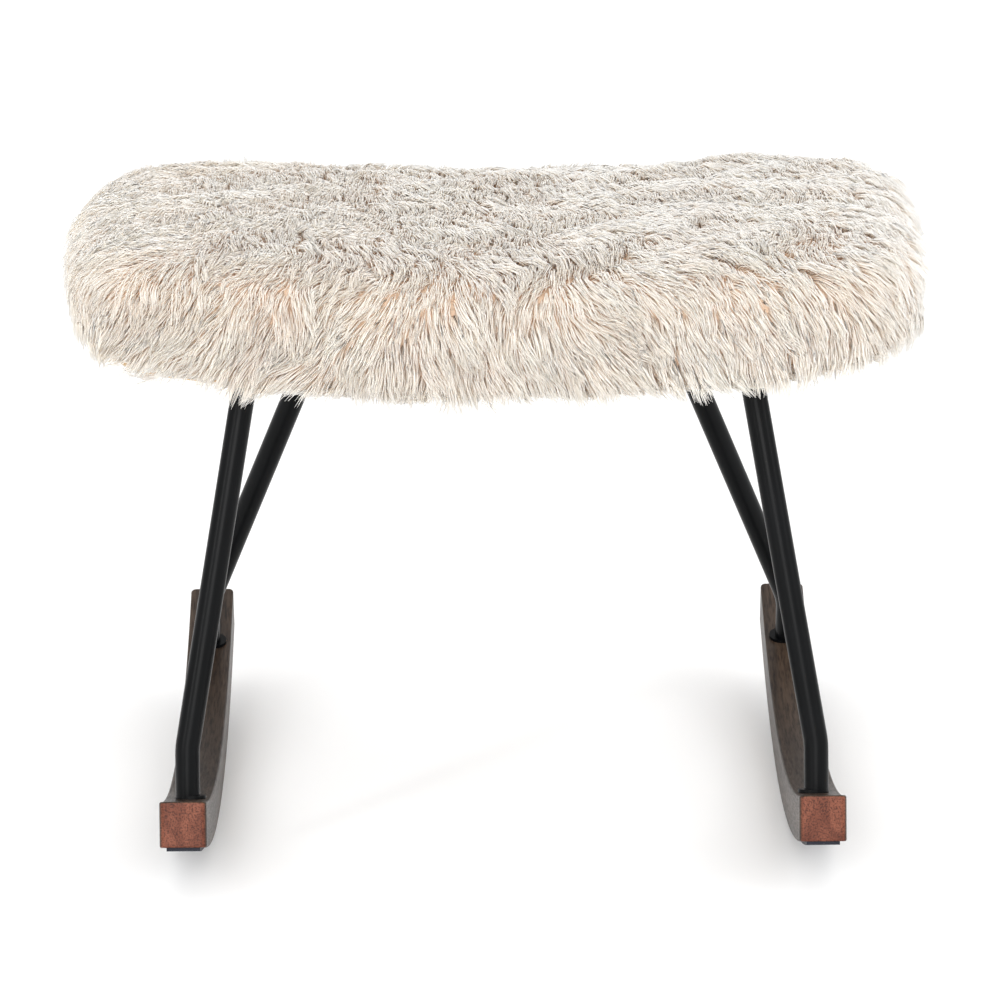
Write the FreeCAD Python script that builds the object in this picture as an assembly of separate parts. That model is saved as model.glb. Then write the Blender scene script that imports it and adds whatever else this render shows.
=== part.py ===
import FreeCAD, Part
import math
import os

from FreeCAD import Vector

# Rocking footstool. Millimetres, +Z up, X across the seat, Y along the rockers.
# The origin is on the floor, under the middle of the seat, where the rockers touch.
# The front is at -Y.

# Rockers: two curved wooden runners on strips of felt
rocker_spacing = 460.0      # from one rocker's middle to the other's
rocker_width = 34.0
rocker_depth = 33.0         # wood between the upper and the lower arc
rocker_radius = 670.0       # lower arc of the wood
rocker_length = 500.0       # straight across the lower corners
rocker_end_lean = 14.0      # degrees that each end face leans in at its top
rocker_corner = 4.0         # rounding of the upright corners at the ends
rocker_edge = 1.5           # rounding of the long edges
felt_width = 24.0
felt_depth = 2.5
felt_setback = 1.5          # from the rocker's end to the felt's

# Legs: bent steel tubes, square to the rocker at the foot
leg_diameter = 18.0
leg_wall = 1.5
leg_foot_reach = 175.0      # from the middle of the rocker to each foot, along Y
leg_stub = 37.0             # from the rocker up to the corner of the bend
leg_bend_radius = 50.0
foot_plate_depth = 2.5
foot_plate_reach = 4.5      # how far the foot plate shows on the tube's inner side
foot_plate_gap = 0.1        # keeps the flat plate off the hollow of the rocker
foot_plug_length = 18.0
plug_clearance = 0.1

# Foot bolts: from under the rocker into the plug in the tube
bolt_diameter = 6.0
bolt_clearance = 0.5        # added to a bolt's diameter where it passes freely
thread_clearance = 0.1      # added to a bolt's diameter in a nut or a plug
foot_bolt_grip = 12.0       # length of the foot bolt inside the plug
foot_head_diameter = 10.0
foot_head_depth = 6.0
foot_head_sink = 8.0        # counterbore in the rocker's underside
counterbore_clearance = 1.0
hex_key = 5.0
hex_depth = 3.0

# Seat board: bent plywood, lower in the middle
board_height = 354.0        # underside in the middle, above the floor
board_depth = 12.0
board_setback = 12.0        # from the foam's edge to the board's
board_corner = 40.0
saddle_radius = 1700.0      # underside of the board

# Mounting plates: one on top of each leg
plate_length = 72.0
plate_width = 40.0
plate_depth = 4.0
plate_corner = 8.0
plate_bolt_pitch = 50.0
front_plate_setback = 129.0     # from the seat's end to the middle of the plate
rear_plate_setback = 184.5
seat_bolt_grip = 7.0        # length of the seat bolt inside the nut
seat_head_diameter = 11.0
seat_head_depth = 3.3
washer_diameter = 14.0
washer_depth = 1.2
nut_flange_diameter = 17.0
nut_flange_depth = 1.2
nut_barrel_diameter = 8.0
nut_barrel_length = 9.5
nut_clearance = 0.3

# Cushion: foam under a long-pile cover, sized over the tips of the pile
seat_width = 626.0
seat_depth = 360.0
seat_height = 463.0         # top of the crown in the middle, above the floor
pile_depth = 22.0           # cover and pile over the foam
hem_depth = 6.0             # cover folded under the board, with its pile
hem_width = 26.0
seam_drop = 29.0            # from the top down to the seam of the top panel
crown = 9.0                 # rise of the top between its front and rear shoulders
side_bulge = 5.0            # how far the middle of a side stands out
shoulder_corner = 40.0
lower_corner = 26.0
straight_half = 150.0       # middle stretch whose section stays the same, to each side
end_rounding = 95.0         # length over which an end is drawn in
end_fullness = 0.985        # 1 would draw the end in to a full quarter round
end_drop = 64.0             # how far the top comes down over the rounding
end_lift = 26.0             # how far the underside comes up
plan_corner = 75.0          # how far the sides come in
end_shares = (0.0, 0.35, 0.6, 0.8, 0.92, 1.0)
top_follow = 0.95           # share of the board's rise that the top follows
dust_cover_depth = 1.0
dust_cover_clearance = 1.5
soft_gap = 0.3              # clear space around soft pieces
core_run_out = 20.0         # drawn below the board, then trimmed to the board's shape

# Places that follow from the sizes above
arc_centre = Vector(0, 0, felt_depth + rocker_radius)
top_radius = rocker_radius - rocker_depth
saddle_centre = Vector(0, 0, board_height + saddle_radius)
sides = {"left": -1, "right": 1}
ends = {"front": -1, "rear": 1}
plate_setback = {"front": front_plate_setback, "rear": rear_plate_setback}
seam_level = seat_height - board_height - seam_drop     # above the board's underside


def save(name, shape):
    os.makedirs("parts", exist_ok=True)
    shape.exportStep("parts/" + name + ".step")


def group(solids):
    return Part.makeCompound(solids)


def placed(shape, origin, up, across):
    """Moves a shape drawn at the origin: its Z goes along up, its X along across."""
    z = Vector(up).normalize()
    x = Vector(across).normalize()
    y = z.cross(x)
    turn = FreeCAD.Matrix(
        x.x, y.x, z.x, origin.x,
        x.y, y.y, z.y, origin.y,
        x.z, y.z, z.z, origin.z,
        0, 0, 0, 1,
    )
    moved = shape.copy()
    moved.Placement = FreeCAD.Placement(turn).multiply(shape.Placement)
    return moved


def rod(diameter, low, high):
    """Upright cylinder between two heights."""
    return Part.makeCylinder(diameter / 2, high - low, Vector(0, 0, low))


def rounded_plate(length, width, corner, low, high):
    """Flat plate about the Z axis with four round corners."""
    plate = Part.makeBox(length, width, high - low, Vector(-length / 2, -width / 2, low))
    upright = [e for e in plate.Edges if abs(e.tangentAt(e.FirstParameter).z) > 0.99]
    return plate.makeFillet(corner, upright)


def hexagon(across_flats, low, high):
    corners = []
    for i in range(7):
        a = math.radians(60 * i)
        r = across_flats / math.sqrt(3)
        corners.append(Vector(r * math.cos(a), r * math.sin(a), low))
    return Part.Face(Part.makePolygon(corners)).extrude(Vector(0, 0, high - low))


# Rockers and felt

def arc_point(radius, y, x=0.0):
    """Point at this Y on a circle about the rockers' centre, on its lower side."""
    return Vector(x, y, arc_centre.z - math.sqrt(radius * radius - y * y))


def rocker_profile(x):
    """Outline of a rocker seen from its side."""
    low_y = rocker_length / 2
    low = arc_point(rocker_radius, low_y, x)
    lean = math.tan(math.radians(rocker_end_lean))
    high_y = low_y
    for _ in range(30):
        high_y = low_y - lean * (arc_point(top_radius, high_y).z - low.z)
    high = arc_point(top_radius, high_y, x)
    low_front = Vector(x, -low.y, low.z)
    high_front = Vector(x, -high.y, high.z)
    lower = Part.Arc(low_front, arc_point(rocker_radius, 0, x), low).toShape()
    upper = Part.Arc(high, arc_point(top_radius, 0, x), high_front).toShape()
    rear = Part.makeLine(low, high)
    front = Part.makeLine(high_front, low_front)
    return Part.Face(Part.Wire([lower, rear, upper, front]))


def rocker_blank(side):
    x = side * rocker_spacing / 2
    blank = rocker_profile(x - rocker_width / 2).extrude(Vector(rocker_width, 0, 0))
    upright = []
    for e in blank.Edges:
        t = e.tangentAt(e.FirstParameter)
        if e.Curve.TypeId == "Part::GeomLine" and abs(t.x) < 0.01:
            upright.append(e)
    blank = blank.makeFillet(rocker_corner, upright)
    loops = []
    for e in blank.Edges:
        middle = e.valueAt((e.FirstParameter + e.LastParameter) / 2)
        r = (middle - arc_centre - Vector(middle.x, 0, 0)).Length
        across = e.tangentAt((e.FirstParameter + e.LastParameter) / 2)
        runs_along_face = abs(across.z) < 0.9
        if runs_along_face and (r > rocker_radius - 1 or r < top_radius + 1):
            loops.append(e)
    return blank.makeFillet(rocker_edge, loops)


def foot_frame(side, end):
    """Place of a leg's foot on the rocker's upper arc: origin and upward direction."""
    y = end * leg_foot_reach
    x = side * rocker_spacing / 2
    origin = arc_point(top_radius, y, x)
    up = Vector(x, 0, arc_centre.z) - origin
    return origin, up.normalize()


def at_foot(shape, side, end):
    origin, up = foot_frame(side, end)
    return placed(shape, origin, up, Vector(-side, 0, 0))


def rocker(side):
    body = rocker_blank(side)
    bore = rod(bolt_diameter + bolt_clearance, -rocker_depth - 5, 5)
    sink = rod(
        foot_head_diameter + counterbore_clearance,
        -rocker_depth - 5,
        -rocker_depth + foot_head_sink,
    )
    for end in ends.values():
        body = body.cut(at_foot(bore, side, end))
        body = body.cut(at_foot(sink, side, end))
    return body


def felt_strip(side):
    reach = rocker_length / 2 - felt_setback
    a = math.asin(reach / rocker_radius)
    x = side * rocker_spacing / 2 - felt_width / 2
    outer_radius = rocker_radius + felt_depth

    def point(radius, angle):
        y = radius * math.sin(angle)
        return arc_point(radius, y, x)

    inner = Part.Arc(point(rocker_radius, -a), point(rocker_radius, 0), point(rocker_radius, a))
    outer = Part.Arc(point(outer_radius, a), point(outer_radius, 0), point(outer_radius, -a))
    rear = Part.makeLine(point(rocker_radius, a), point(outer_radius, a))
    front = Part.makeLine(point(outer_radius, -a), point(rocker_radius, -a))
    outline = Part.Wire([inner.toShape(), rear, outer.toShape(), front])
    return Part.Face(outline).extrude(Vector(felt_width, 0, 0))


# Feet of the legs

foot_plate_low = foot_plate_gap
tube_low = foot_plate_low + foot_plate_depth


def foot_plate():
    """Long round-ended plate under the tube, which shows on the inner side."""
    disc = rod(leg_diameter, foot_plate_low, tube_low)
    tongue = disc.copy()
    tongue.translate(Vector(foot_plate_reach, 0, 0))
    bridge = Part.makeBox(
        foot_plate_reach, leg_diameter, foot_plate_depth,
        Vector(0, -leg_diameter / 2, foot_plate_low),
    )
    plate = disc.fuse([tongue, bridge]).removeSplitter()
    return plate.cut(rod(bolt_diameter + bolt_clearance, -1, tube_low + 1))


def foot_plug():
    inner = leg_diameter - 2 * leg_wall
    plug = rod(inner - 2 * plug_clearance, tube_low, tube_low + foot_plug_length)
    return plug.cut(rod(bolt_diameter + thread_clearance, 0, tube_low + foot_plug_length + 1))


def foot_bolt():
    head_high = -rocker_depth + foot_head_sink
    head_low = head_high - foot_head_depth
    head = rod(foot_head_diameter, head_low, head_high)
    shank = rod(bolt_diameter, head_high - 1, tube_low + foot_bolt_grip)
    key = hexagon(hex_key, head_low, head_low + hex_depth)
    return head.fuse(shank).removeSplitter().cut(key)


def at_all_feet(shape):
    return group([at_foot(shape, s, e) for s in sides.values() for e in ends.values()])


# Legs and the plates on top of them

plate_high = soft_gap + dust_cover_depth     # below the board's underside
plate_low = plate_high + plate_depth
under_plate_radius = saddle_radius + plate_low


def bend_corner(side, end):
    origin, up = foot_frame(side, end)
    return origin + up * leg_stub, up


def leg_turn(end_name):
    """Degrees that the bend turns a leg inwards, so that it meets its plate."""
    corner, up = bend_corner(1, ends[end_name])
    x = seat_width / 2 - plate_setback[end_name]
    z = saddle_centre.z - math.sqrt(under_plate_radius ** 2 - x * x)
    return math.degrees(math.atan2(corner.x - x, (z - corner.z) / up.z))


splay = {end_name: leg_turn(end_name) for end_name in ends}


def leg_axis(side, end, turn):
    """Corner of the bend and the direction of the upper part of a leg."""
    corner, up = bend_corner(side, end)
    a = math.radians(turn)
    inwards = Vector(-side, 0, 0)
    return corner, up * math.cos(a) + inwards * math.sin(a)


def leg_top(side, end, turn):
    """Where a leg's axis meets the underside of its plate, and the plate's direction."""
    corner, along = leg_axis(side, end, turn)
    flat = Vector(corner.x, 0, corner.z) - saddle_centre
    run = Vector(along.x, 0, along.z)
    b = flat.dot(run) / run.dot(run)
    c = (flat.dot(flat) - under_plate_radius ** 2) / run.dot(run)
    # The leg rises from below the circle, so it meets the near side first
    top = corner + along * (-b - math.sqrt(b * b - c))
    up = (saddle_centre - Vector(top.x, 0, top.z)).normalize()
    return top, up


def at_plate(shape, side, end, turn):
    """Moves a shape drawn with the board's underside at Z = 0."""
    top, up = leg_top(side, end, turn)
    across = Vector(0, 1, 0).cross(up)
    return placed(shape, top + up * plate_low, up, across)


def leg_path(side, end, turn):
    origin, up = foot_frame(side, end)
    corner, along = leg_axis(side, end, turn)
    tangent = leg_bend_radius * math.tan(math.radians(turn) / 2)
    low = origin + up * tube_low
    bend_low = corner - up * tangent
    bend_high = corner + along * tangent
    inner = (along - up).normalize()
    sagitta = leg_bend_radius * (1 / math.cos(math.radians(turn) / 2) - 1)
    middle = corner + inner * sagitta
    top, _ = leg_top(side, end, turn)
    high = top + along * leg_diameter
    bend = Part.Arc(bend_low, middle, bend_high).toShape()
    return Part.Wire([Part.makeLine(low, bend_low), bend, Part.makeLine(bend_high, high)])


def leg(side, end, turn):
    path = leg_path(side, end, turn)
    origin, up = foot_frame(side, end)
    low = origin + up * tube_low
    bodies = []
    for radius in (leg_diameter / 2, leg_diameter / 2 - leg_wall):
        ring = Part.Wire(Part.makeCircle(radius, low, up))
        bodies.append(path.makePipeShell([ring], True, False))
    tube = bodies[0].cut(bodies[1])
    reach = 2 * plate_length
    above = Part.makeBox(2 * reach, 2 * reach, reach, Vector(-reach, -reach, -plate_low))
    return tube.cut(at_plate(above, side, end, turn))


def bolt_places():
    return [Vector(-plate_bolt_pitch / 2, 0, 0), Vector(plate_bolt_pitch / 2, 0, 0)]


def plate():
    body = rounded_plate(plate_length, plate_width, plate_corner, -plate_low, -plate_high)
    for place in bolt_places():
        hole = rod(bolt_diameter + bolt_clearance, -plate_low - 1, 0)
        hole.translate(place)
        body = body.cut(hole)
    return body


washer_low = -plate_low - washer_depth


def seat_washer():
    body = rod(washer_diameter, washer_low, -plate_low)
    return body.cut(rod(bolt_diameter + bolt_clearance, washer_low - 1, 0))


def seat_nut():
    """Flanged barrel nut, let into the board's upper face."""
    flange = rod(nut_flange_diameter, board_depth - nut_flange_depth, board_depth)
    barrel = rod(nut_barrel_diameter, board_depth - nut_barrel_length, board_depth)
    body = flange.fuse(barrel).removeSplitter()
    return body.cut(rod(bolt_diameter + thread_clearance, 0, board_depth + 1))


def seat_bolt():
    """Low round-headed bolt, from under the plate into the nut."""
    head_low = washer_low - seat_head_depth
    head = rod(seat_head_diameter, head_low, washer_low)
    rim = [e for e in head.Edges if e.BoundBox.ZMax < head_low + 0.01 and e.Closed]
    head = head.makeFillet(seat_head_depth * 0.6, rim)
    high = board_depth - nut_barrel_length + seat_bolt_grip
    shank = rod(bolt_diameter, washer_low - 1, high)
    key = hexagon(hex_key - 1, head_low, head_low + seat_head_depth * 0.6)
    return head.fuse(shank).removeSplitter().cut(key)


def at_all_plates(shape):
    """One copy of a shape on each bolt of each plate."""
    copies = []
    for side in sides.values():
        for end_name, end in ends.items():
            for place in bolt_places():
                copy = shape.copy()
                copy.translate(place)
                copies.append(at_plate(copy, side, end, splay[end_name]))
    return copies


# Seat

def saddle_cylinder(depth_below_board):
    """Everything above a surface that lies this far under the board's underside."""
    radius = saddle_radius + depth_below_board
    start = saddle_centre - Vector(0, seat_depth, 0)
    return Part.makeCylinder(radius, 2 * seat_depth, start, Vector(0, 1, 0))


def saddle_rise(x):
    return saddle_radius - math.sqrt(saddle_radius ** 2 - x * x)


def cushion_section(x, half, low, high, low_corner, high_corner, bulge):
    """Closed outline across the cushion, with a crown and slightly bulging sides."""
    flank = half - bulge
    shoulder = high - crown
    c = 1 - math.sqrt(0.5)

    def at(y, z):
        return Vector(x, y, z)

    low_y = flank - low_corner
    high_y = flank - high_corner
    low_side = low + low_corner
    high_side = shoulder - high_corner
    middle = (low_side + high_side) / 2
    edges = [Part.makeLine(at(-low_y, low), at(low_y, low))]
    rear = [
        (at(low_y, low), at(flank - c * low_corner, low + c * low_corner), at(flank, low_side)),
        (at(flank, low_side), at(half, middle), at(flank, high_side)),
        (at(flank, high_side), at(flank - c * high_corner, shoulder - c * high_corner),
         at(high_y, shoulder)),
    ]
    top = [(at(high_y, shoulder), at(0, high), at(-high_y, shoulder))]
    front = []
    for a, b, d in reversed(rear):
        front.append((at(-d.y, d.z), at(-b.y, b.z), at(-a.y, a.z)))
    for a, b, d in rear + top + front:
        edges.append(Part.Arc(a, b, d).toShape())
    return Part.Wire(edges)


def cushion(inset, low_level, drawn_in_below):
    """Pillow-shaped body: sections along X, set in from the tips of the pile."""
    end_x = seat_width / 2 - inset
    end_run = end_rounding - inset
    stations = [(0.0, 0.0), (straight_half, 0.0)]
    stations += [(end_x - end_run * (1 - s), s) for s in end_shares]
    wires = []
    for x, s in stations:
        drawn = 1 - math.sqrt(1 - (s * end_fullness) ** 2)
        rise = saddle_rise(x)
        high = seat_height - inset + rise * top_follow - (end_drop - inset) * drawn
        low = low_level + rise
        if drawn_in_below:
            low += end_lift * drawn
        # The corners and the bulge shrink with the height of the section
        share = (high - low) / (seat_height - inset - low_level)
        low_corner = lower_corner * share if drawn_in_below else 2.0
        high_corner = (shoulder_corner - inset * 0.5) * share
        half = seat_depth / 2 - inset - (plan_corner - inset * 0.5) * drawn
        for mirrored in ((-1, 1) if x else (1,)):
            args = (mirrored * x, half, low, high, low_corner, high_corner, side_bulge * share)
            wires.append((mirrored * x, cushion_section(*args)))
    wires.sort(key=lambda pair: pair[0])
    return Part.makeLoft([w for _, w in wires], True, False, False, 3)


def upright_block(setback, corner):
    """Tall block that stands this far inside the foam's edge all round."""
    length = seat_width - 2 * (pile_depth + setback)
    width = seat_depth - 2 * (pile_depth + side_bulge + setback)
    low = board_height - board_depth - hem_depth
    high = board_height + board_depth + saddle_rise(length / 2) + soft_gap
    return rounded_plate(length, width, corner, low, high)


def foam_space(margin):
    core = cushion(pile_depth - margin, board_height - core_run_out, False)
    return core.common(saddle_cylinder(margin - board_depth - soft_gap))


def board_space(margin):
    layer = saddle_cylinder(margin).cut(saddle_cylinder(-board_depth))
    return upright_block(board_setback - margin, board_corner).common(layer)


def fur_cover():
    """The whole cover, before it is parted at the seam between top panel and border."""
    cover = cushion(0.0, board_height - hem_depth, True)
    cover = cover.cut(foam_space(soft_gap))
    cover = cover.cut(board_space(soft_gap))
    return cover.cut(upright_block(board_setback + hem_width, board_corner))


def fur_top_panel(cover):
    return cover.common(saddle_cylinder(-seam_level))


def fur_border(cover):
    """Band round the sides, folded under the board as a hem."""
    return cover.cut(saddle_cylinder(soft_gap - seam_level))


def foam_pad():
    return foam_space(0.0)


def seat_board():
    hole = rod(nut_barrel_diameter + nut_clearance, -10, board_depth + 10)
    sink_depth = board_depth - nut_flange_depth - nut_clearance
    sink = rod(nut_flange_diameter + nut_clearance, sink_depth, board_depth + 10)
    return board_space(0.0).cut(at_all_plates(hole) + at_all_plates(sink))


def dust_cover():
    layer = saddle_cylinder(plate_high).cut(saddle_cylinder(soft_gap))
    block = upright_block(board_setback + hem_width + dust_cover_clearance, board_corner)
    hole = rod(bolt_diameter + bolt_clearance, -10, 10)
    return block.common(layer).cut(at_all_plates(hole))


def build():
    for name, side in sides.items():
        save(name + "_rocker", rocker(side))
        save(name + "_felt_strip", felt_strip(side))
        for end_name, end in ends.items():
            turn = splay[end_name]
            save(end_name + "_" + name + "_leg", leg(side, end, turn))
            save(end_name + "_" + name + "_leg_plate", at_plate(plate(), side, end, turn))
    save("foot_plates", at_all_feet(foot_plate()))
    save("foot_plugs", at_all_feet(foot_plug()))
    save("foot_bolts", at_all_feet(foot_bolt()))
    save("seat_bolts", group(at_all_plates(seat_bolt())))
    save("seat_bolt_washers", group(at_all_plates(seat_washer())))
    save("seat_nuts", group(at_all_plates(seat_nut())))
    save("seat_board", seat_board())
    save("dust_cover", dust_cover())
    save("foam_pad", foam_pad())
    cover = fur_cover()
    save("fur_top_panel", fur_top_panel(cover))
    save("fur_border", fur_border(cover))


build()
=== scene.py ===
import math

import bpy
import numpy as np
from mathutils import Matrix, Vector


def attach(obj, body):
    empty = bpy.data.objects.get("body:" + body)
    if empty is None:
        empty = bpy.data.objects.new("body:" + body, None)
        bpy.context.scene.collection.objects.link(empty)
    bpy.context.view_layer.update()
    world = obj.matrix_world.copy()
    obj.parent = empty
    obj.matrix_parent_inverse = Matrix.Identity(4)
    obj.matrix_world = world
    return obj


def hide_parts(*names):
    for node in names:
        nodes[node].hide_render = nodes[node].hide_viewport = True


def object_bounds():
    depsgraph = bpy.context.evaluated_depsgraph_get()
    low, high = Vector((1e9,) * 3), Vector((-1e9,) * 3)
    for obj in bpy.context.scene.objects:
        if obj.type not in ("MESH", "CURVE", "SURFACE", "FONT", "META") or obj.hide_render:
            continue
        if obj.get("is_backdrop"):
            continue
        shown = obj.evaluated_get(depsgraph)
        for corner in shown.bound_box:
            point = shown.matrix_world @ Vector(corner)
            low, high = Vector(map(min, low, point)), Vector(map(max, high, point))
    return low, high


# Rocking footstool. Metres, the CAD's frame: +Z up, the front at -Y, the floor at z = 0.

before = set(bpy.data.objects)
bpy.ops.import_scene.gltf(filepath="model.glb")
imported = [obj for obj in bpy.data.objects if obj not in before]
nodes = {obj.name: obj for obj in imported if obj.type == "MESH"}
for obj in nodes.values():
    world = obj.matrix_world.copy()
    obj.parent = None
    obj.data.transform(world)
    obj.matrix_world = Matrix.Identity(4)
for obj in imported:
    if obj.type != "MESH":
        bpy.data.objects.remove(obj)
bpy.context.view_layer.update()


# Rockers
# Two runners of solid walnut, bandsawn to an arc, rounded along their edges, stained
# and sprayed with a satin lacquer. The grain runs along the arc.

def hex_colour(text):
    """sRGB hex to the linear colour that a shader takes."""
    values = [int(text[i:i + 2], 16) / 255 for i in (1, 3, 5)]
    return [v / 12.92 if v <= 0.04045 else ((v + 0.055) / 1.055) ** 2.4 for v in values] + [1.0]


def add(tree, kind, settings=None, links=None):
    """Adds a node, sets its options, fills or links its sockets, and gives its first output."""
    made = tree.nodes.new(kind)
    for key, value in (settings or {}).items():
        setattr(made, key, value)
    for key, value in (links or {}).items():
        socket = made.inputs[key]
        if isinstance(value, bpy.types.NodeSocket):
            tree.links.new(value, socket)
        else:
            socket.default_value = value
    return made.outputs[0] if made.outputs else made


def new_material(name):
    """Empty material: its tree, and its shader wired to the output."""
    made = bpy.data.materials.new(name)
    made.use_nodes = True
    made.node_tree.nodes.clear()
    tree = made.node_tree
    shader = add(tree, "ShaderNodeBsdfPrincipled")
    add(tree, "ShaderNodeOutputMaterial", None, {"Surface": shader})
    return made, tree, shader.node


def ramp(tree, factor, stops):
    """Colour ramp from (place, hex) pairs."""
    out = add(tree, "ShaderNodeValToRGB", None, {"Fac": factor})
    elements = out.node.color_ramp.elements
    while len(elements) < len(stops):
        elements.new(0.5)
    for element, (place, colour) in zip(elements, stops):
        element.position = place
        element.color = hex_colour(colour)
    return out


def dress(names, material):
    """Gives nodes of the CAD their material."""
    for name in names:
        nodes[name].data.materials.clear()
        nodes[name].data.materials.append(material)


# Stained and lacquered walnut: open pores as fine dark dashes along the grain, with
# broader bands of figure. The lacquer gives a soft, clear sheen over the brown.
walnut, tree, shader = new_material("lacquered_walnut")
arc_centre_z = 0.6725       # of the arcs that rockers and felt follow
place = add(tree, "ShaderNodeTexCoord").node.outputs["Object"]
split = add(tree, "ShaderNodeSeparateXYZ", None, {0: place}).node
height = add(tree, "ShaderNodeMath", {"operation": "SUBTRACT"}, {0: arc_centre_z, 1: split.outputs["Z"]})
turn = add(tree, "ShaderNodeMath", {"operation": "ARCTAN2"}, {0: split.outputs["Y"], 1: height})
along = add(tree, "ShaderNodeMath", {"operation": "MULTIPLY"}, {0: turn, 1: arc_centre_z})
reach = add(tree, "ShaderNodeMath", {"operation": "POWER"}, {0: split.outputs["Y"], 1: 2.0})
rise = add(tree, "ShaderNodeMath", {"operation": "POWER"}, {0: height, 1: 2.0})
total = add(tree, "ShaderNodeMath", None, {0: reach, 1: rise})
depth = add(tree, "ShaderNodeMath", {"operation": "SQRT"}, {0: total})
grain = add(tree, "ShaderNodeCombineXYZ", None, {"X": split.outputs["X"], "Y": along, "Z": depth})
figure_place = add(tree, "ShaderNodeMapping", None, {"Vector": grain, "Scale": (60, 4, 40)})
figure = add(tree, "ShaderNodeTexNoise", None, {
    "Vector": figure_place, "Scale": 1.0, "Detail": 5.0, "Roughness": 0.6, "Distortion": 0.8})
# pores some 10 mm long, drawn about 1 mm wide so that they show
pore_place = add(tree, "ShaderNodeMapping", None, {"Vector": grain, "Scale": (800, 70, 800)})
pores = add(tree, "ShaderNodeTexNoise", None, {
    "Vector": pore_place, "Scale": 1.0, "Detail": 2.0, "Roughness": 0.55})
# top and sides: a darker, greyer brown that stands in for the lacquer's glare at grazing angles and for
# shade, as painted glare and painted shade
glare_and_shade_side_colour = ramp(tree, figure, [
    (0.28, "#2b221b"), (0.45, "#3b3028"), (0.58, "#493c32"), (0.75, "#31271f")])
# the sawn ends take more stain and keep the redder walnut brown; the top and sides get the darker, greyer
# brown above, which is painted glare and painted shade
end_colour = ramp(tree, figure, [
    (0.28, "#54291b"), (0.45, "#693a2a"), (0.58, "#7b4836"), (0.75, "#5c2f20")])
# the way a face looks picks between the redder ends and the top and sides with their painted glare and
# shade
facing = add(tree, "ShaderNodeNewGeometry").node.outputs["Normal"]
facing = add(tree, "ShaderNodeSeparateXYZ", None, {0: facing}).node.outputs["Y"]
facing = add(tree, "ShaderNodeMath", {"operation": "ABSOLUTE"}, {0: facing})
at_end = add(tree, "ShaderNodeMapRange", None, {"Value": facing, "From Min": 0.5, "From Max": 0.85})
figure_with_painted_glare_colour = add(tree, "ShaderNodeMix", {"data_type": "RGBA"}, {
    0: at_end, 6: glare_and_shade_side_colour, 7: end_colour}).node.outputs[2]
pore_mask = ramp(tree, pores, [(0.34, "#3a2422"), (0.48, "#d8d0c8"), (0.62, "#ffffff")])
brown = add(tree, "ShaderNodeMix", {"data_type": "RGBA", "blend_type": "MULTIPLY"}, {
    "Factor": 0.7, 6: figure_with_painted_glare_colour, 7: pore_mask}).node.outputs[2]
roughness = add(tree, "ShaderNodeMapRange", None, {
    "Value": pores, "From Min": 0.3, "From Max": 0.7, "To Min": 0.42, "To Max": 0.34})
bump = add(tree, "ShaderNodeBump", None, {"Strength": 0.35, "Distance": 0.0003, "Height": pores})
tree.links.new(brown, shader.inputs["Base Color"])
tree.links.new(roughness, shader.inputs["Roughness"])
tree.links.new(bump, shader.inputs["Normal"])
shader.inputs["Specular IOR Level"].default_value = 0.2
dress(["left_rocker", "right_rocker"], walnut)


# Felt strips
# Needled wool felt glued under each rocker, so that it rolls quietly.

# Pressed felt: matt, with a short tangled nap.
felt, tree, shader = new_material("pressed_wool_felt")
place = add(tree, "ShaderNodeTexCoord").node.outputs["Object"]
nap = add(tree, "ShaderNodeTexNoise", None, {
    "Vector": place, "Scale": 1400.0, "Detail": 4.0, "Roughness": 0.7})
tree.links.new(ramp(tree, nap, [(0.3, "#0c0e17"), (0.6, "#20222d"), (0.8, "#3a3a44")]),
               shader.inputs["Base Color"])
tree.links.new(add(tree, "ShaderNodeBump", None, {
    "Strength": 0.8, "Distance": 0.0006, "Height": nap}), shader.inputs["Normal"])
shader.inputs["Roughness"].default_value = 0.95
shader.inputs["Sheen Weight"].default_value = 0.2
dress(["left_felt_strip", "right_felt_strip"], felt)


# Legs, foot plates and mounting plates
# Steel tube, bent cold near the foot, with a plate welded on each end, all powder
# coated before assembly.

# Powder coat on steel: black, satin, with a faint orange peel about 1.5 mm across.
powder_coat, tree, shader = new_material("satin_powder_coat")
place = add(tree, "ShaderNodeTexCoord").node.outputs["Object"]
peel = add(tree, "ShaderNodeTexNoise", None, {"Vector": place, "Scale": 650.0, "Detail": 2.0})
blotch = add(tree, "ShaderNodeTexNoise", None, {"Vector": place, "Scale": 25.0, "Detail": 3.0})
tree.links.new(ramp(tree, blotch, [(0.3, "#060708"), (0.7, "#090a0c")]), shader.inputs["Base Color"])
tree.links.new(add(tree, "ShaderNodeMapRange", None, {
    "Value": blotch, "From Min": 0.3, "From Max": 0.7, "To Min": 0.28, "To Max": 0.34}),
    shader.inputs["Roughness"])
tree.links.new(add(tree, "ShaderNodeBump", None, {
    "Strength": 0.12, "Distance": 0.0002, "Height": peel}), shader.inputs["Normal"])
shader.inputs["Specular IOR Level"].default_value = 0.1
dress([end + "_" + side + part for end in ("front", "rear") for side in ("left", "right")
       for part in ("_leg", "_leg_plate")] + ["foot_plates"], powder_coat)


# Fasteners
# Steel bolts, washers and flanged nuts hold the plates to the seat board. A bolt goes
# up through each rocker into a steel plug welded in the tube's lower end.

# Zinc plating on turned steel: pale grey metal with faint rings and cloudiness.
zinc, tree, shader = new_material("zinc_plated_steel")
place = add(tree, "ShaderNodeTexCoord").node.outputs["Object"]
cloud = add(tree, "ShaderNodeTexNoise", None, {"Vector": place, "Scale": 300.0, "Detail": 3.0})
tree.links.new(ramp(tree, cloud, [(0.3, "#a9acad"), (0.7, "#c9cac8")]), shader.inputs["Base Color"])
tree.links.new(add(tree, "ShaderNodeMapRange", None, {
    "Value": cloud, "To Min": 0.25, "To Max": 0.45}), shader.inputs["Roughness"])
shader.inputs["Metallic"].default_value = 1.0
dress(["foot_plugs", "foot_bolts", "seat_nuts"], zinc)

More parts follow.
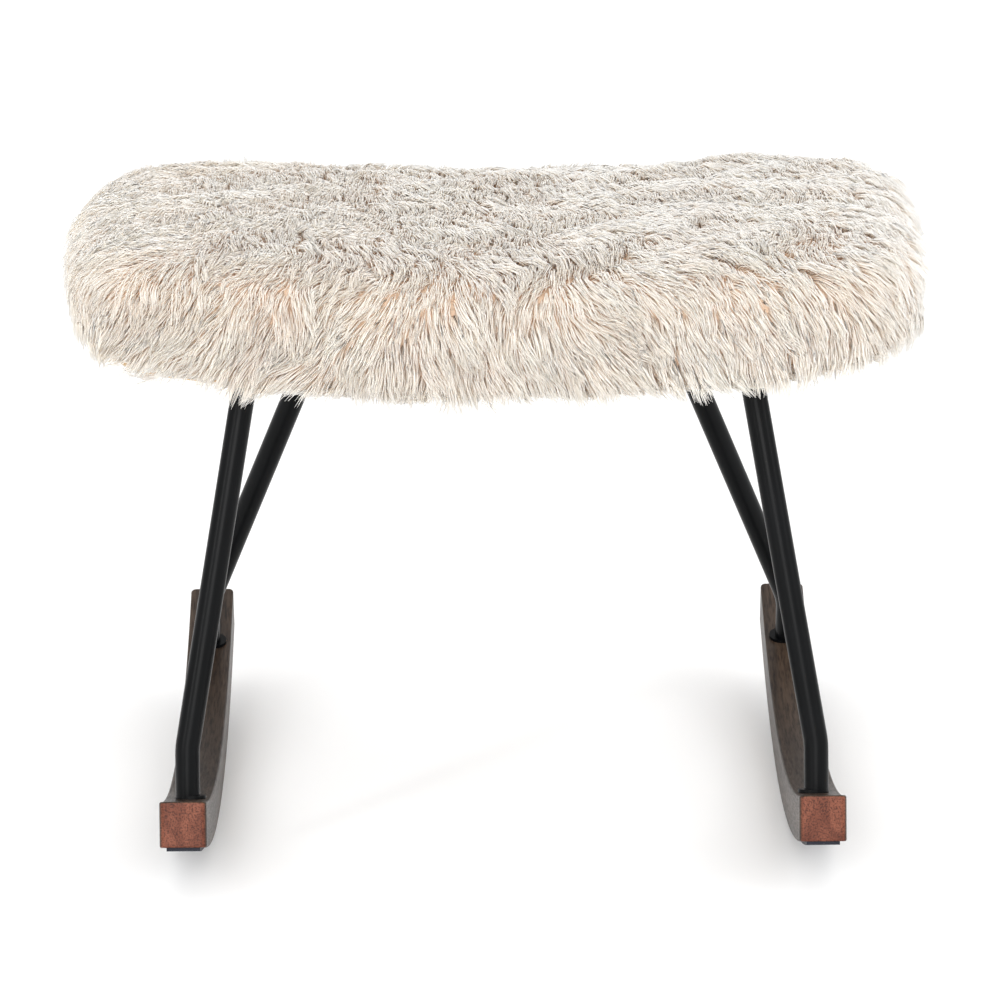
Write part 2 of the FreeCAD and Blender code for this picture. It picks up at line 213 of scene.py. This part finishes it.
# Black oxide on steel: nearly black metal that still shines where it is handled.
black_oxide, tree, shader = new_material("black_oxide_steel")
place = add(tree, "ShaderNodeTexCoord").node.outputs["Object"]
cloud = add(tree, "ShaderNodeTexNoise", None, {"Vector": place, "Scale": 400.0, "Detail": 3.0})
tree.links.new(ramp(tree, cloud, [(0.3, "#1c1c1e"), (0.7, "#2b2b2d")]), shader.inputs["Base Color"])
tree.links.new(add(tree, "ShaderNodeMapRange", None, {
    "Value": cloud, "To Min": 0.3, "To Max": 0.5}), shader.inputs["Roughness"])
shader.inputs["Metallic"].default_value = 0.8
dress(["seat_bolts", "seat_bolt_washers"], black_oxide)


# Seat board
# Birch veneers, bent over a form and glued, which give the seat its saddle shape.
# It is screwed to the plates of the legs, and carries foam, hide and dust cloth.

board_half = (0.279, 0.141)
board_under = 0.354         # height of its underside, and below of its top, at the middle
board_top = 0.3665
saddle_radius = 1.7


def saddle(x, middle):
    """Height at x of the saddle's curve that has this height at the middle."""
    return middle + saddle_radius - np.sqrt(saddle_radius ** 2 - x ** 2)


# Birch plywood: pale, with the veneers' edges as lines 1.5 mm apart.
plywood, tree, shader = new_material("birch_plywood")
saddle_centre_z = board_under + saddle_radius
veneer = 0.0015
place = add(tree, "ShaderNodeTexCoord").node.outputs["Object"]
split = add(tree, "ShaderNodeSeparateXYZ", None, {0: place}).node
drop = add(tree, "ShaderNodeMath", {"operation": "SUBTRACT"}, {
    0: split.outputs["Z"], 1: saddle_centre_z})
level = add(tree, "ShaderNodeCombineXYZ", None, {"X": split.outputs["X"], "Z": drop})
distance = add(tree, "ShaderNodeVectorMath", {"operation": "LENGTH"}, {0: level}).node.outputs["Value"]
ply = add(tree, "ShaderNodeMath", {"operation": "PINGPONG"}, {0: distance, 1: veneer})
line = add(tree, "ShaderNodeMapRange", None, {"Value": ply, "From Max": veneer})
wood_place = add(tree, "ShaderNodeMapping", None, {"Vector": place, "Scale": (12, 260, 260)})
wood = add(tree, "ShaderNodeTexNoise", None, {"Vector": wood_place, "Scale": 1.0, "Detail": 4.0})
mixed = add(tree, "ShaderNodeMath", {"operation": "MULTIPLY_ADD"}, {0: line, 1: 0.3, 2: wood})
tree.links.new(ramp(tree, mixed, [(0.3, "#a98357"), (0.6, "#c9a679"), (0.9, "#dcc096")]),
               shader.inputs["Base Color"])
shader.inputs["Roughness"].default_value = 0.6
dress(["seat_board"], plywood)


# Hide
# The backing of the long-pile cover: a top panel sewn to a border, which is folded
# under the seat board and stapled there as a hem.

seat_half_x = 0.3125        # over the tips of the pile
seat_half_y = 0.183
seat_middle_z = 0.4035
seat_half_z = 0.061
plan_fullness = (5.0, 5.8)  # exponent of the rounded plan, at the left and the right end
top_fullness = 3.8
under_fullness = 4.8
top_rise = (0.0245, -0.0045)    # rise of the saddle's top to its ends: square, fourth power
under_rise = 0.0225
pile_over_hide = 0.0125
seam_share = 0.5            # how far up from the middle of the height the seam runs
hide_depth = 0.0016
hem_gap = 0.0004            # between the hem and the board
hem_bend = 0.012            # width in which the hide turns under the board
opening_half = (0.252, 0.114)
opening_corner = 0.03
cell = 0.006                # of the grid that hide and foam are made of


def cushion_form(grid, inset):
    """Maps points on the unit cube to the rounded, saddle-shaped cushion, set in by inset."""
    x, y, z = grid.T
    right = 0.5 + 0.5 * np.tanh(2.5 * x)
    plan = plan_fullness[0] * (1 - right) + plan_fullness[1] * right
    upper = 0.5 + 0.5 * np.tanh(3 * z)
    profile = top_fullness * upper + under_fullness * (1 - upper)
    flat = (np.abs(x) ** plan + np.abs(y) ** plan + 1e-12) ** (1 / plan)
    radius = (flat ** profile + np.abs(z) ** profile) ** (1 / profile)
    along = x / radius
    rise_above = top_rise[0] * along ** 2 + top_rise[1] * along ** 4
    rise_below = under_rise * along ** 2
    return np.stack([
        (seat_half_x - inset) * along,
        (seat_half_y - inset) * y / radius,
        seat_middle_z + (seat_half_z - inset) * z / radius
        + upper * rise_above + (1 - upper) * rise_below,
    ], 1)


def cube_grid(counts):
    """Even grid over the six faces of the unit cube, as points and quads, faces outwards."""
    points, quads = {}, []

    def index(p):
        return points.setdefault(tuple(np.round(p, 6)), len(points))

    for axis in range(3):
        a, b = (axis + 1) % 3, (axis + 2) % 3
        for side in (-1, 1):
            us = np.linspace(-1, 1, counts[a] + 1)
            vs = np.linspace(-1, 1, counts[b] + 1)
            for i in range(counts[a]):
                for j in range(counts[b]):
                    corners = []
                    for u, v in ((i, j), (i + 1, j), (i + 1, j + 1), (i, j + 1)):
                        p = [0.0, 0.0, 0.0]
                        p[axis], p[a], p[b] = side, us[u], vs[v]
                        corners.append(index(p))
                    quads.append(corners if side > 0 else corners[::-1])
    return np.array(list(points)), np.array(quads)


grid_counts = [round(2 * half / cell) for half in (seat_half_x, seat_half_y, seat_half_z)]
cube_points, cube_quads = cube_grid(grid_counts)
hide_points = cushion_form(cube_points, pile_over_hide)
# the hem lies against the underside of the board
inside_board = (np.array(board_half) - np.abs(hide_points[:, :2])).min(1)
folded = np.clip(inside_board / hem_bend, 0, 1) * (cube_points[:, 2] < -0.9)
hem_level = saddle(hide_points[:, 0], board_under) - hide_depth - hem_gap
hide_points[:, 2] += folded * (hem_level - hide_points[:, 2])


def mesh_from(name, points, quads):
    """Mesh of only the points that the quads use."""
    used, compact = np.unique(quads, return_inverse=True)
    made = bpy.data.meshes.new(name)
    made.from_pydata(points[used].tolist(), [], compact.reshape(quads.shape).tolist())
    made.validate()
    made.polygons.foreach_set("use_smooth", np.ones(len(made.polygons), bool))
    return made, used


def show(name, data):
    """New object in the scene."""
    made = bpy.data.objects.new(name, data)
    bpy.context.scene.collection.objects.link(made)
    return made


def solid(thing, thickness):
    """Gives a sheet its thickness on the inner side, and makes that its mesh."""
    made = thing.modifiers.new("thickness", "SOLIDIFY")
    made.thickness = thickness
    made.offset = -1
    graph = bpy.context.evaluated_depsgraph_get()
    data = bpy.data.meshes.new_from_object(thing.evaluated_get(graph))
    thing.modifiers.clear()
    thing.data = data


centres = hide_points[cube_quads].mean(1)
cube_centres = cube_points[cube_quads].mean(1)
under = cube_centres[:, 2] < -0.99
from_edge = np.abs(centres[:, :2]) - np.array(opening_half)
in_opening = under & (from_edge < 0).all(1)
is_top = cube_centres[:, 2] > seam_share
is_border = ~is_top & ~in_opening


def to_opening_edge(points):
    """Moves the ragged edge of the opening onto a rectangle with round corners."""
    inner = np.array(opening_half) - opening_corner
    core = np.clip(points[:, :2], -inner, inner)
    away = points[:, :2] - core
    length = np.linalg.norm(away, axis=1, keepdims=True)
    points[:, :2] = core + away / np.maximum(length, 1e-9) * opening_corner
    return points


edge = np.intersect1d(cube_quads[in_opening], cube_quads[is_border])
hide_points[edge] = to_opening_edge(hide_points[edge])

# Hide, seen between the locks: tan suede under wool, mottled.
hide_leather, tree, shader = new_material("tan_hide")
place = add(tree, "ShaderNodeTexCoord").node.outputs["Object"]
mottle = add(tree, "ShaderNodeTexNoise", None, {
    "Vector": place, "Scale": 90.0, "Detail": 5.0, "Roughness": 0.65})
tree.links.new(ramp(tree, mottle, [(0.3, "#dcc3aa"), (0.55, "#e9d5c0"), (0.75, "#f2e3d3")]),
               shader.inputs["Base Color"])
tree.links.new(add(tree, "ShaderNodeBump", None, {
    "Strength": 0.6, "Distance": 0.001, "Height": mottle}), shader.inputs["Normal"])
shader.inputs["Roughness"].default_value = 0.9

for name, chosen, node in (("hide_top_panel", is_top, "fur_top_panel"),
                           ("hide_border", is_border, "fur_border")):
    data, _ = mesh_from(name, hide_points, cube_quads[chosen])
    piece = show(name, data)
    solid(piece, hide_depth)
    piece.data.materials.append(hide_leather)
    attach(piece, "root")
    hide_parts(node)


# Foam pad
# Cut polyether foam glued on the board, under the hide.

foam_gap = 0.001            # between the foam and the hide
foam_points = cushion_form(cube_points, pile_over_hide + hide_depth + foam_gap)
foam_points[:, 2] = np.maximum(foam_points[:, 2], saddle(foam_points[:, 0], board_top))
data, _ = mesh_from("foam_core", foam_points, cube_quads)
foam_core = show("foam_core", data)
# Polyurethane foam: pale yellow, with open cells about 0.5 mm across.
foam, tree, shader = new_material("polyurethane_foam")
place = add(tree, "ShaderNodeTexCoord").node.outputs["Object"]
cells = add(tree, "ShaderNodeTexVoronoi", None, {"Vector": place, "Scale": 1500.0})
tree.links.new(ramp(tree, cells, [(0.0, "#b9a25e"), (0.5, "#e6d79a")]), shader.inputs["Base Color"])
tree.links.new(add(tree, "ShaderNodeBump", None, {
    "Strength": 0.5, "Distance": 0.0005, "Height": cells}), shader.inputs["Normal"])
shader.inputs["Roughness"].default_value = 0.9
foam_core.data.materials.append(foam)
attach(foam_core, "root")
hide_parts("foam_pad")


# Dust cloth
# Black non-woven cloth stapled under the board, inside the hem.

cloth_half = (0.2505, 0.1125)
cloth_corner = 0.028
cloth_depth = 0.0006
cloth_drop = 0.0011         # of its upper side below the board
cloth_counts = (84, 38)
xs = np.linspace(-1, 1, cloth_counts[0] + 1) * cloth_half[0]
ys = np.linspace(-1, 1, cloth_counts[1] + 1) * cloth_half[1]
gx, gy = np.meshgrid(xs, ys, indexing="ij")
inner = np.array(cloth_half) - cloth_corner
flat = np.stack([gx.ravel(), gy.ravel()], 1)
core = np.clip(flat, -inner, inner)
away = flat - core
length = np.linalg.norm(away, axis=1, keepdims=True)
flat = core + away / np.maximum(length, 1e-9) * np.minimum(length, cloth_corner)
sag = 0.0004 * np.sin(flat[:, 0] * 37) * np.sin(flat[:, 1] * 61)
cloth_points = np.column_stack([flat, saddle(flat[:, 0], board_under - cloth_drop) + sag])
ids = np.arange(len(flat)).reshape(gx.shape)
quads = np.stack([ids[:-1, :-1], ids[:-1, 1:], ids[1:, 1:], ids[1:, :-1]], -1).reshape(-1, 4)
data, _ = mesh_from("dust_cloth", cloth_points, quads)
dust_cloth = show("dust_cloth", data)
solid(dust_cloth, -cloth_depth)
# Spun-bonded polypropylene: black, matt, with a fine point pattern 1.2 mm apart.
nonwoven, tree, shader = new_material("black_nonwoven_cloth")
place = add(tree, "ShaderNodeTexCoord").node.outputs["Object"]
dots = add(tree, "ShaderNodeTexVoronoi", None, {"Vector": place, "Scale": 830.0, "Randomness": 0.2})
tree.links.new(ramp(tree, dots, [(0.1, "#0d0d0f"), (0.5, "#1d1d20")]), shader.inputs["Base Color"])
tree.links.new(add(tree, "ShaderNodeBump", None, {
    "Strength": 0.4, "Distance": 0.0003, "Height": dots}), shader.inputs["Normal"])
shader.inputs["Roughness"].default_value = 0.85
dust_cloth.data.materials.append(nonwoven)
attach(dust_cloth, "root")
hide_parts("dust_cover")


# Long pile
# Cream locks 18 to 32 mm long, rooted in the hide, combed over and gathered into
# pointed tufts. They are pale at the tip, and painted tan and darker towards the root as shade deep in
# the pile.

def smooth_noise(points, size, seed):
    """Smooth random value about 0, within 1, that changes over this distance."""
    random = np.random.default_rng(seed)
    value = np.zeros(len(points))
    for _ in range(14):
        direction = random.normal(size=3)
        direction *= 2 * np.pi / (size * np.linalg.norm(direction)) * random.uniform(0.6, 1.4)
        value += np.sin(points @ direction + random.uniform(0, 2 * np.pi))
    return np.clip(value / 3.6, -1, 1)


bare_hem = 0.030            # width of the hide round the opening that has no locks
lock_rise = 0.40            # in shares of a lock's length: how far it stands off the hide,
lock_run = 0.80             # reaches along the comb, hangs at its tip, and bends aside
lock_hang = -0.14
lock_bend = 0.07

normals = np.zeros_like(hide_points)
a, b, c, d = (hide_points[cube_quads[:, i]] for i in range(4))
face_normals = np.cross(c - a, d - b)
for i in range(4):
    np.add.at(normals, cube_quads[:, i], face_normals)
normals /= np.linalg.norm(normals, axis=1, keepdims=True)

# Strokes of the comb on the front: where along X, and degrees from straight down
stroke_x = [-0.31, -0.24, -0.17, -0.10, -0.04, 0.03, 0.10, 0.16, 0.21, 0.26, 0.31]
stroke_turn = [-70, -48, -38, -16, 8, 42, 52, 34, -8, 22, 62]
x, y, z = hide_points.T
# Locks run from the rear shoulder over the top to the front and down it. Behind the
# rear shoulder they turn round and hang, and so they do at the ends.
along_seat = np.broadcast_to([1.0, 0.0, 0.0], normals.shape)
forwards = np.cross(along_seat, normals)
sideways = np.cross(normals, forwards)
upper = np.clip((normals[:, 2] - 0.35) / 0.4, 0, 1)
stroke = np.interp(x, stroke_x, stroke_turn) * (1 - 0.5 * upper)
stroke = np.radians(stroke + 30 * smooth_noise(hide_points, 0.075, 3) + 22 * upper * x / seat_half_x)
behind = np.clip((0.45 - normals[:, 2]) / 0.5, 0, 1) * (normals[:, 1] > 0)
stroke += np.pi * behind ** 2 * (3 - 2 * behind)
comb = forwards * np.cos(stroke)[:, None] + sideways * np.sin(stroke)[:, None]
hanging = np.column_stack([0.45 * normals[:, 0], np.zeros(len(x)), -np.ones(len(x))])
at_end = np.clip((np.abs(normals[:, 0]) - 0.45) / 0.35, 0, 1)[:, None]
below = np.clip((-normals[:, 2] - 0.45) / 0.4, 0, 1)[:, None]
outwards = np.column_stack([x / seat_half_x, y / seat_half_y, np.zeros(len(x))])
comb = comb * (1 - at_end) + hanging * at_end
comb = comb * (1 - below) + outwards * below
comb -= normals * (comb * normals).sum(1, keepdims=True)
comb /= np.maximum(np.linalg.norm(comb, axis=1, keepdims=True), 1e-6)
tone = 0.16 + 0.16 * smooth_noise(hide_points, 0.06, 7)
reach = 1.0 + 0.16 * smooth_noise(hide_points, 0.05, 9) - 0.35 * below[:, 0]
# The pile parts along the front shoulder, where the top panel meets the border
parting = np.exp(-((normals[:, 2] - 0.45) / 0.16) ** 2) * (normals[:, 1] < 0)
reach -= 0.30 * parting * (0.5 + 0.5 * smooth_noise(hide_points, 0.05, 11))

# Wool locks: tan and darker where the light doesn't reach the root, cream along the
# length. The shade changes from tuft to tuft. The colour is laid out by the UV map:
# across is the lock's shade, up is the way from root to tip.
pile, tree, shader = new_material("cream_long_pile_wool")
place = add(tree, "ShaderNodeUVMap", {"uv_map": "UVMap"})
split = add(tree, "ShaderNodeSeparateXYZ", None, {0: place}).node
# the darker tan stops near the root of both ramps are painted shade
pale = ramp(tree, split.outputs["Y"], [
    (0.0, "#f0d9be"), (0.25, "#f9eedc"), (0.60, "#fefaf0"), (1.0, "#fffff8")])
dusky = ramp(tree, split.outputs["Y"], [
    (0.0, "#e6c6a6"), (0.30, "#f3dfc8"), (0.65, "#faeedd"), (1.0, "#fdf7eb")])
tree.links.new(add(tree, "ShaderNodeMix", {"data_type": "RGBA"}, {
    0: split.outputs["X"], 6: pale, 7: dusky}).node.outputs[2], shader.inputs["Base Color"])
shader.inputs["Roughness"].default_value = 0.7
shader.inputs["Specular IOR Level"].default_value = 0.3
shader.inputs["Sheen Weight"].default_value = 0.25
shader.inputs["Sheen Roughness"].default_value = 0.5
# light passes through the fine fibres from lock to lock
shader.inputs["Subsurface Weight"].default_value = 1.0
shader.inputs["Subsurface Radius"].default_value = (1.0, 1.0, 1.0)
shader.inputs["Subsurface Scale"].default_value = 0.004

locks = bpy.data.node_groups.new("pile_locks", "GeometryNodeTree")
locks.is_modifier = True
locks.interface.new_socket("Locks", in_out="OUTPUT", socket_type="NodeSocketGeometry")
locks.interface.new_socket("Skin", in_out="INPUT", socket_type="NodeSocketGeometry")
for name, kind, value in (
    ("Locks per square metre", "NodeSocketFloat", 235000.0),
    ("Tuft size", "NodeSocketFloat", 0.007),
    ("Length", "NodeSocketFloat", 0.0245),
    ("Width", "NodeSocketFloat", 0.00062),
    ("Seed", "NodeSocketInt", 1),
):
    socket = locks.interface.new_socket(name, in_out="INPUT", socket_type=kind)
    socket.default_value = value
given = locks.nodes.new("NodeGroupInput").outputs
roots = add(locks, "GeometryNodeDistributePointsOnFaces", {"distribute_method": "RANDOM"}, {
    "Mesh": given["Skin"], "Density": given["Locks per square metre"], "Seed": given["Seed"]})
tufts = add(locks, "GeometryNodeDistributePointsOnFaces", {"distribute_method": "POISSON"}, {
    "Mesh": given["Skin"], "Distance Min": given["Tuft size"], "Density Max": 60000.0,
    "Seed": given["Seed"]})
spot = add(locks, "GeometryNodeInputPosition")
nearest = add(locks, "GeometryNodeSampleNearest", None, {"Geometry": tufts, "Sample Position": spot})
centre = add(locks, "GeometryNodeSampleIndex", {"data_type": "FLOAT_VECTOR"}, {
    "Geometry": tufts, "Value": spot, "Index": nearest})
tuft_chance = add(locks, "FunctionNodeRandomValue", None, {"ID": nearest, "Seed": 5}).node.outputs[1]
own_chance = add(locks, "FunctionNodeRandomValue", None, {"Seed": 6}).node.outputs[1]
points = roots
for name, kind, value in (("root", "FLOAT_VECTOR", spot), ("centre", "FLOAT_VECTOR", centre),
                          ("tuft_chance", "FLOAT", tuft_chance), ("own_chance", "FLOAT", own_chance)):
    points = add(locks, "GeometryNodeStoreNamedAttribute", {"data_type": kind, "domain": "POINT"}, {
        "Geometry": points, "Name": name, "Value": value})
line = add(locks, "GeometryNodeCurvePrimitiveLine", None, {"End": (0, 0, 1)})
line = add(locks, "GeometryNodeResampleCurve", None, {"Curve": line, "Count": 4})
strands = add(locks, "GeometryNodeInstanceOnPoints", None, {"Points": points, "Instance": line})
strands = add(locks, "GeometryNodeRealizeInstances", None, {"Geometry": strands})
kept = {name: add(locks, "GeometryNodeInputNamedAttribute", {"data_type": kind}, {"Name": name})
        for name, kind in (("root", "FLOAT_VECTOR"), ("centre", "FLOAT_VECTOR"), ("up", "FLOAT_VECTOR"),
                           ("comb", "FLOAT_VECTOR"), ("reach", "FLOAT"), ("tone", "FLOAT"),
                           ("tuft_chance", "FLOAT"), ("own_chance", "FLOAT"))}
way = add(locks, "GeometryNodeSplineParameter").node.outputs["Factor"]
length = add(locks, "ShaderNodeMath", {"operation": "MULTIPLY_ADD"}, {
    0: kept["tuft_chance"], 1: 0.35, 2: 0.72})
length = add(locks, "ShaderNodeMath", {"operation": "MULTIPLY_ADD"}, {
    0: kept["own_chance"], 1: 0.25, 2: length})
length = add(locks, "ShaderNodeMath", {"operation": "MULTIPLY"}, {0: length, 1: kept["reach"]})
length = add(locks, "ShaderNodeMath", {"operation": "MULTIPLY"}, {0: length, 1: given["Length"]})
turn = add(locks, "ShaderNodeMath", {"operation": "MULTIPLY_ADD"}, {
    0: kept["tuft_chance"], 1: 0.6, 2: -0.4})
turn = add(locks, "ShaderNodeMath", {"operation": "MULTIPLY_ADD"}, {
    0: kept["own_chance"], 1: 0.2, 2: turn})
lean = add(locks, "ShaderNodeVectorRotate", {"rotation_type": "AXIS_ANGLE"}, {
    "Vector": kept["comb"], "Axis": kept["up"], "Angle": turn})
side = add(locks, "ShaderNodeVectorMath", {"operation": "CROSS_PRODUCT"}, {0: kept["up"], 1: lean})
# a lock rises from the hide, then lies over, and its tip hangs
rise = add(locks, "ShaderNodeMath", {"operation": "MULTIPLY"}, {0: way, 1: 1.9})
rise = add(locks, "ShaderNodeMath", {"operation": "SINE"}, {0: rise})
rise = add(locks, "ShaderNodeMath", {"operation": "MULTIPLY"}, {0: rise, 1: lock_rise})
run = add(locks, "ShaderNodeMath", {"operation": "POWER"}, {0: way, 1: 1.35})
run = add(locks, "ShaderNodeMath", {"operation": "MULTIPLY"}, {0: run, 1: lock_run})
hang = add(locks, "ShaderNodeMath", {"operation": "POWER"}, {0: way, 1: 2.0})
hang = add(locks, "ShaderNodeMath", {"operation": "MULTIPLY"}, {0: hang, 1: lock_hang})
shape = add(locks, "ShaderNodeVectorMath", {"operation": "SCALE"}, {0: kept["up"], "Scale": rise})
ahead = add(locks, "ShaderNodeVectorMath", {"operation": "SCALE"}, {0: lean, "Scale": run})
shape = add(locks, "ShaderNodeVectorMath", None, {0: shape, 1: ahead})
shape = add(locks, "ShaderNodeVectorMath", None, {
    0: shape, 1: add(locks, "ShaderNodeCombineXYZ", None, {"Z": hang})})
# and bends from side to side on the way
phase = add(locks, "ShaderNodeMath", {"operation": "MULTIPLY_ADD"}, {
    0: way, 1: 5.0, 2: add(locks, "ShaderNodeMath", {"operation": "MULTIPLY"}, {
        0: kept["tuft_chance"], 1: 40.0})})
wave = add(locks, "ShaderNodeMath", {"operation": "SINE"}, {0: phase})
wave = add(locks, "ShaderNodeMath", {"operation": "MULTIPLY"}, {0: wave, 1: way})
wave = add(locks, "ShaderNodeMath", {"operation": "MULTIPLY"}, {0: wave, 1: lock_bend})
aside = add(locks, "ShaderNodeVectorMath", {"operation": "SCALE"}, {0: side, "Scale": wave})
shape = add(locks, "ShaderNodeVectorMath", None, {0: shape, 1: aside})
shape = add(locks, "ShaderNodeVectorMath", {"operation": "SCALE"}, {0: shape, "Scale": length})
# the locks of a tuft draw together towards their tips
gather = add(locks, "ShaderNodeMath", {"operation": "MULTIPLY_ADD"}, {
    0: kept["own_chance"], 1: 0.34, 2: 0.06})
gather = add(locks, "ShaderNodeMath", {"operation": "MULTIPLY"}, {0: gather, 1: way})
base = add(locks, "ShaderNodeMix", {"data_type": "VECTOR"}, {
    0: gather, 4: kept["root"], 5: kept["centre"]}).node.outputs[1]
strands = add(locks, "GeometryNodeSetPosition", None, {
    "Geometry": strands,
    "Position": add(locks, "ShaderNodeVectorMath", None, {0: base, 1: shape})})
taper = add(locks, "ShaderNodeMath", {"operation": "MULTIPLY_ADD"}, {
    0: add(locks, "ShaderNodeMath", {"operation": "POWER"}, {0: way, 1: 1.8}), 1: -0.86, 2: 1.0})
radius = add(locks, "ShaderNodeMath", {"operation": "MULTIPLY"}, {0: taper, 1: given["Width"]})
shade = add(locks, "ShaderNodeMath", {"operation": "MULTIPLY_ADD"}, {
    0: kept["tuft_chance"], 1: 0.22, 2: kept["tone"]})
shade = add(locks, "ShaderNodeMath", {"operation": "MULTIPLY_ADD", "use_clamp": True}, {
    0: kept["own_chance"], 1: 0.16, 2: shade})
for name, value in (("way", way), ("shade", shade)):
    strands = add(locks, "GeometryNodeStoreNamedAttribute", {"data_type": "FLOAT", "domain": "POINT"}, {
        "Geometry": strands, "Name": name, "Value": value})
section = add(locks, "GeometryNodeCurvePrimitiveCircle", None, {"Resolution": 3, "Radius": 1.0})
around = add(locks, "GeometryNodeInputIndex")
section = add(locks, "GeometryNodeStoreNamedAttribute", {"data_type": "FLOAT", "domain": "POINT"}, {
    "Geometry": section, "Name": "around", "Value": add(locks, "ShaderNodeMath", {
        "operation": "MULTIPLY"}, {0: around, 1: 0.003})})
tubes = add(locks, "GeometryNodeCurveToMesh", None, {
    "Curve": strands, "Profile Curve": section, "Scale": radius, "Fill Caps": True})
across = add(locks, "ShaderNodeMath", None, {
    0: add(locks, "GeometryNodeInputNamedAttribute", {"data_type": "FLOAT"}, {"Name": "shade"}),
    1: add(locks, "GeometryNodeInputNamedAttribute", {"data_type": "FLOAT"}, {"Name": "around"})})
tubes = add(locks, "GeometryNodeStoreNamedAttribute", {"data_type": "FLOAT2", "domain": "CORNER"}, {
    "Geometry": tubes, "Name": "UVMap", "Value": add(locks, "ShaderNodeCombineXYZ", None, {
        "X": across,
        "Y": add(locks, "GeometryNodeInputNamedAttribute", {"data_type": "FLOAT"}, {"Name": "way"})})})
tubes = add(locks, "GeometryNodeSetMaterial", None, {"Geometry": tubes, "Material": pile})
tubes = add(locks, "GeometryNodeRealizeInstances", None, {"Geometry": tubes})
add(locks, "NodeGroupOutput", None, {"Locks": tubes})

patches = {}
cx, cy = centres[:, 0], centres[:, 1]
top_cuts = [-1, -0.2, -0.12, -0.04, 0.04, 0.12, 0.2, 1]
for i, (low, high) in enumerate(zip(top_cuts, top_cuts[1:])):
    patches["pile_top_%d" % (i + 1)] = is_top & (cx >= low) & (cx < high)
piled = is_border & ~(under & (from_edge < bare_hem).all(1))
side_cuts = [-0.235, -0.08, 0.08, 0.235]
patches["pile_left_end"] = piled & (cx < side_cuts[0])
patches["pile_right_end"] = piled & (cx >= side_cuts[-1])
for i, (low, high) in enumerate(zip(side_cuts, side_cuts[1:])):
    band = piled & (cx >= low) & (cx < high)
    patches["pile_front_%d" % (i + 1)] = band & (cy < 0)
    patches["pile_rear_%d" % (i + 1)] = band & (cy >= 0)

for seed, (name, chosen) in enumerate(sorted(patches.items())):
    data, used = mesh_from(name, hide_points, cube_quads[chosen])
    for key, values in (("up", normals), ("comb", comb)):
        data.attributes.new(key, "FLOAT_VECTOR", "POINT").data.foreach_set("vector", values[used].ravel())
    for key, values in (("reach", reach), ("tone", tone)):
        data.attributes.new(key, "FLOAT", "POINT").data.foreach_set("value", values[used])
    piece = show(name, data)
    grow = piece.modifiers.new("locks", "NODES")
    grow.node_group = locks
    for item in locks.interface.items_tree:
        if item.in_out == "INPUT" and item.name == "Seed":
            grow[item.identifier] = seed + 1
    graph = bpy.context.evaluated_depsgraph_get()
    made = bpy.data.meshes.new_from_object(piece.evaluated_get(graph))
    piece.modifiers.clear()
    piece.data = made
    for key in [a.name for a in made.attributes]:
        if key in ("root", "centre", "up", "comb", "reach", "tone", "tuft_chance", "own_chance",
                   "way", "shade", "around"):
            made.attributes.remove(made.attributes[key])
    made.polygons.foreach_set("use_smooth", np.ones(len(made.polygons), bool))
    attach(piece, "root")
    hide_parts("fur_top_panel" if name.startswith("pile_top") else "fur_border")


# Floor, light and camera
# A white sweep under soft, even light from all sides.

floor = show("floor", bpy.data.meshes.new("floor"))
floor.data.from_pydata([(-7, -7, 0), (7, -7, 0), (7, 7, 0), (-7, 7, 0)], [], [(0, 1, 2, 3)])
paper, tree, shader = new_material("white_paper")
shader.inputs["Base Color"].default_value = hex_colour("#fafafa")
shader.inputs["Roughness"].default_value = 0.9
floor.data.materials.append(paper)
floor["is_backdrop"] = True

scene = bpy.context.scene
world = bpy.data.worlds.new("studio")
world.use_nodes = True
tree = world.node_tree
tree.nodes["Background"].inputs["Color"].default_value = (1, 1, 1, 1)
# the room is brighter above and in front of the seat than behind it
around = add(tree, "ShaderNodeTexCoord").node.outputs["Generated"]
around = add(tree, "ShaderNodeVectorMath", {"operation": "DOT_PRODUCT"}, {
    0: around, 1: (0, -0.7, 0.7)}).node.outputs["Value"]
around = add(tree, "ShaderNodeMapRange", None, {
    "Value": around, "From Min": -1.0, "From Max": 1.0, "To Min": 0.35, "To Max": 1.45})
tree.links.new(around, tree.nodes["Background"].inputs["Strength"])
scene.world = world
scene.cycles.max_bounces = 16
scene.cycles.diffuse_bounces = 16
scene.view_settings.view_transform = "Standard"


def soft_box(name, place, aim, width, height, power):
    """Oblong lamp at one point, facing another."""
    lamp = bpy.data.lights.new(name, "AREA")
    lamp.shape = "RECTANGLE"
    lamp.size = width
    lamp.size_y = height
    lamp.energy = power
    made = show(name, lamp)
    made.location = place
    made.rotation_euler = (Vector(aim) - Vector(place)).to_track_quat("-Z", "Y").to_euler()


soft_box("left_strip", (-2.2, -2.2, 1.5), (0, 0, 0.25), 0.25, 1.8, 18)
soft_box("right_box", (2.4, -1.0, 1.6), (0, 0, 0.25), 1.2, 1.2, 18)
soft_box("front_box", (-0.4, -4.4, 2.0), (0, 0, 0.35), 2.0, 2.0, 80)

elevation, roll, yaw = (math.radians(a) for a in (17.4924, 0.427, 0.4117))
camera_place = (0.00118, -3.6695, 1.3881)
camera = bpy.data.cameras.new("camera")
camera.lens = 183.6
camera.sensor_width = 36
eye = show("camera", camera)
straight = Matrix.Translation(camera_place) @ Matrix.Rotation(math.pi / 2 - elevation, 4, "X")
eye.matrix_world = Matrix.Rotation(-yaw, 4, "Z") @ straight @ Matrix.Rotation(-roll, 4, "Z")
scene.camera = eye

low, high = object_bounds()
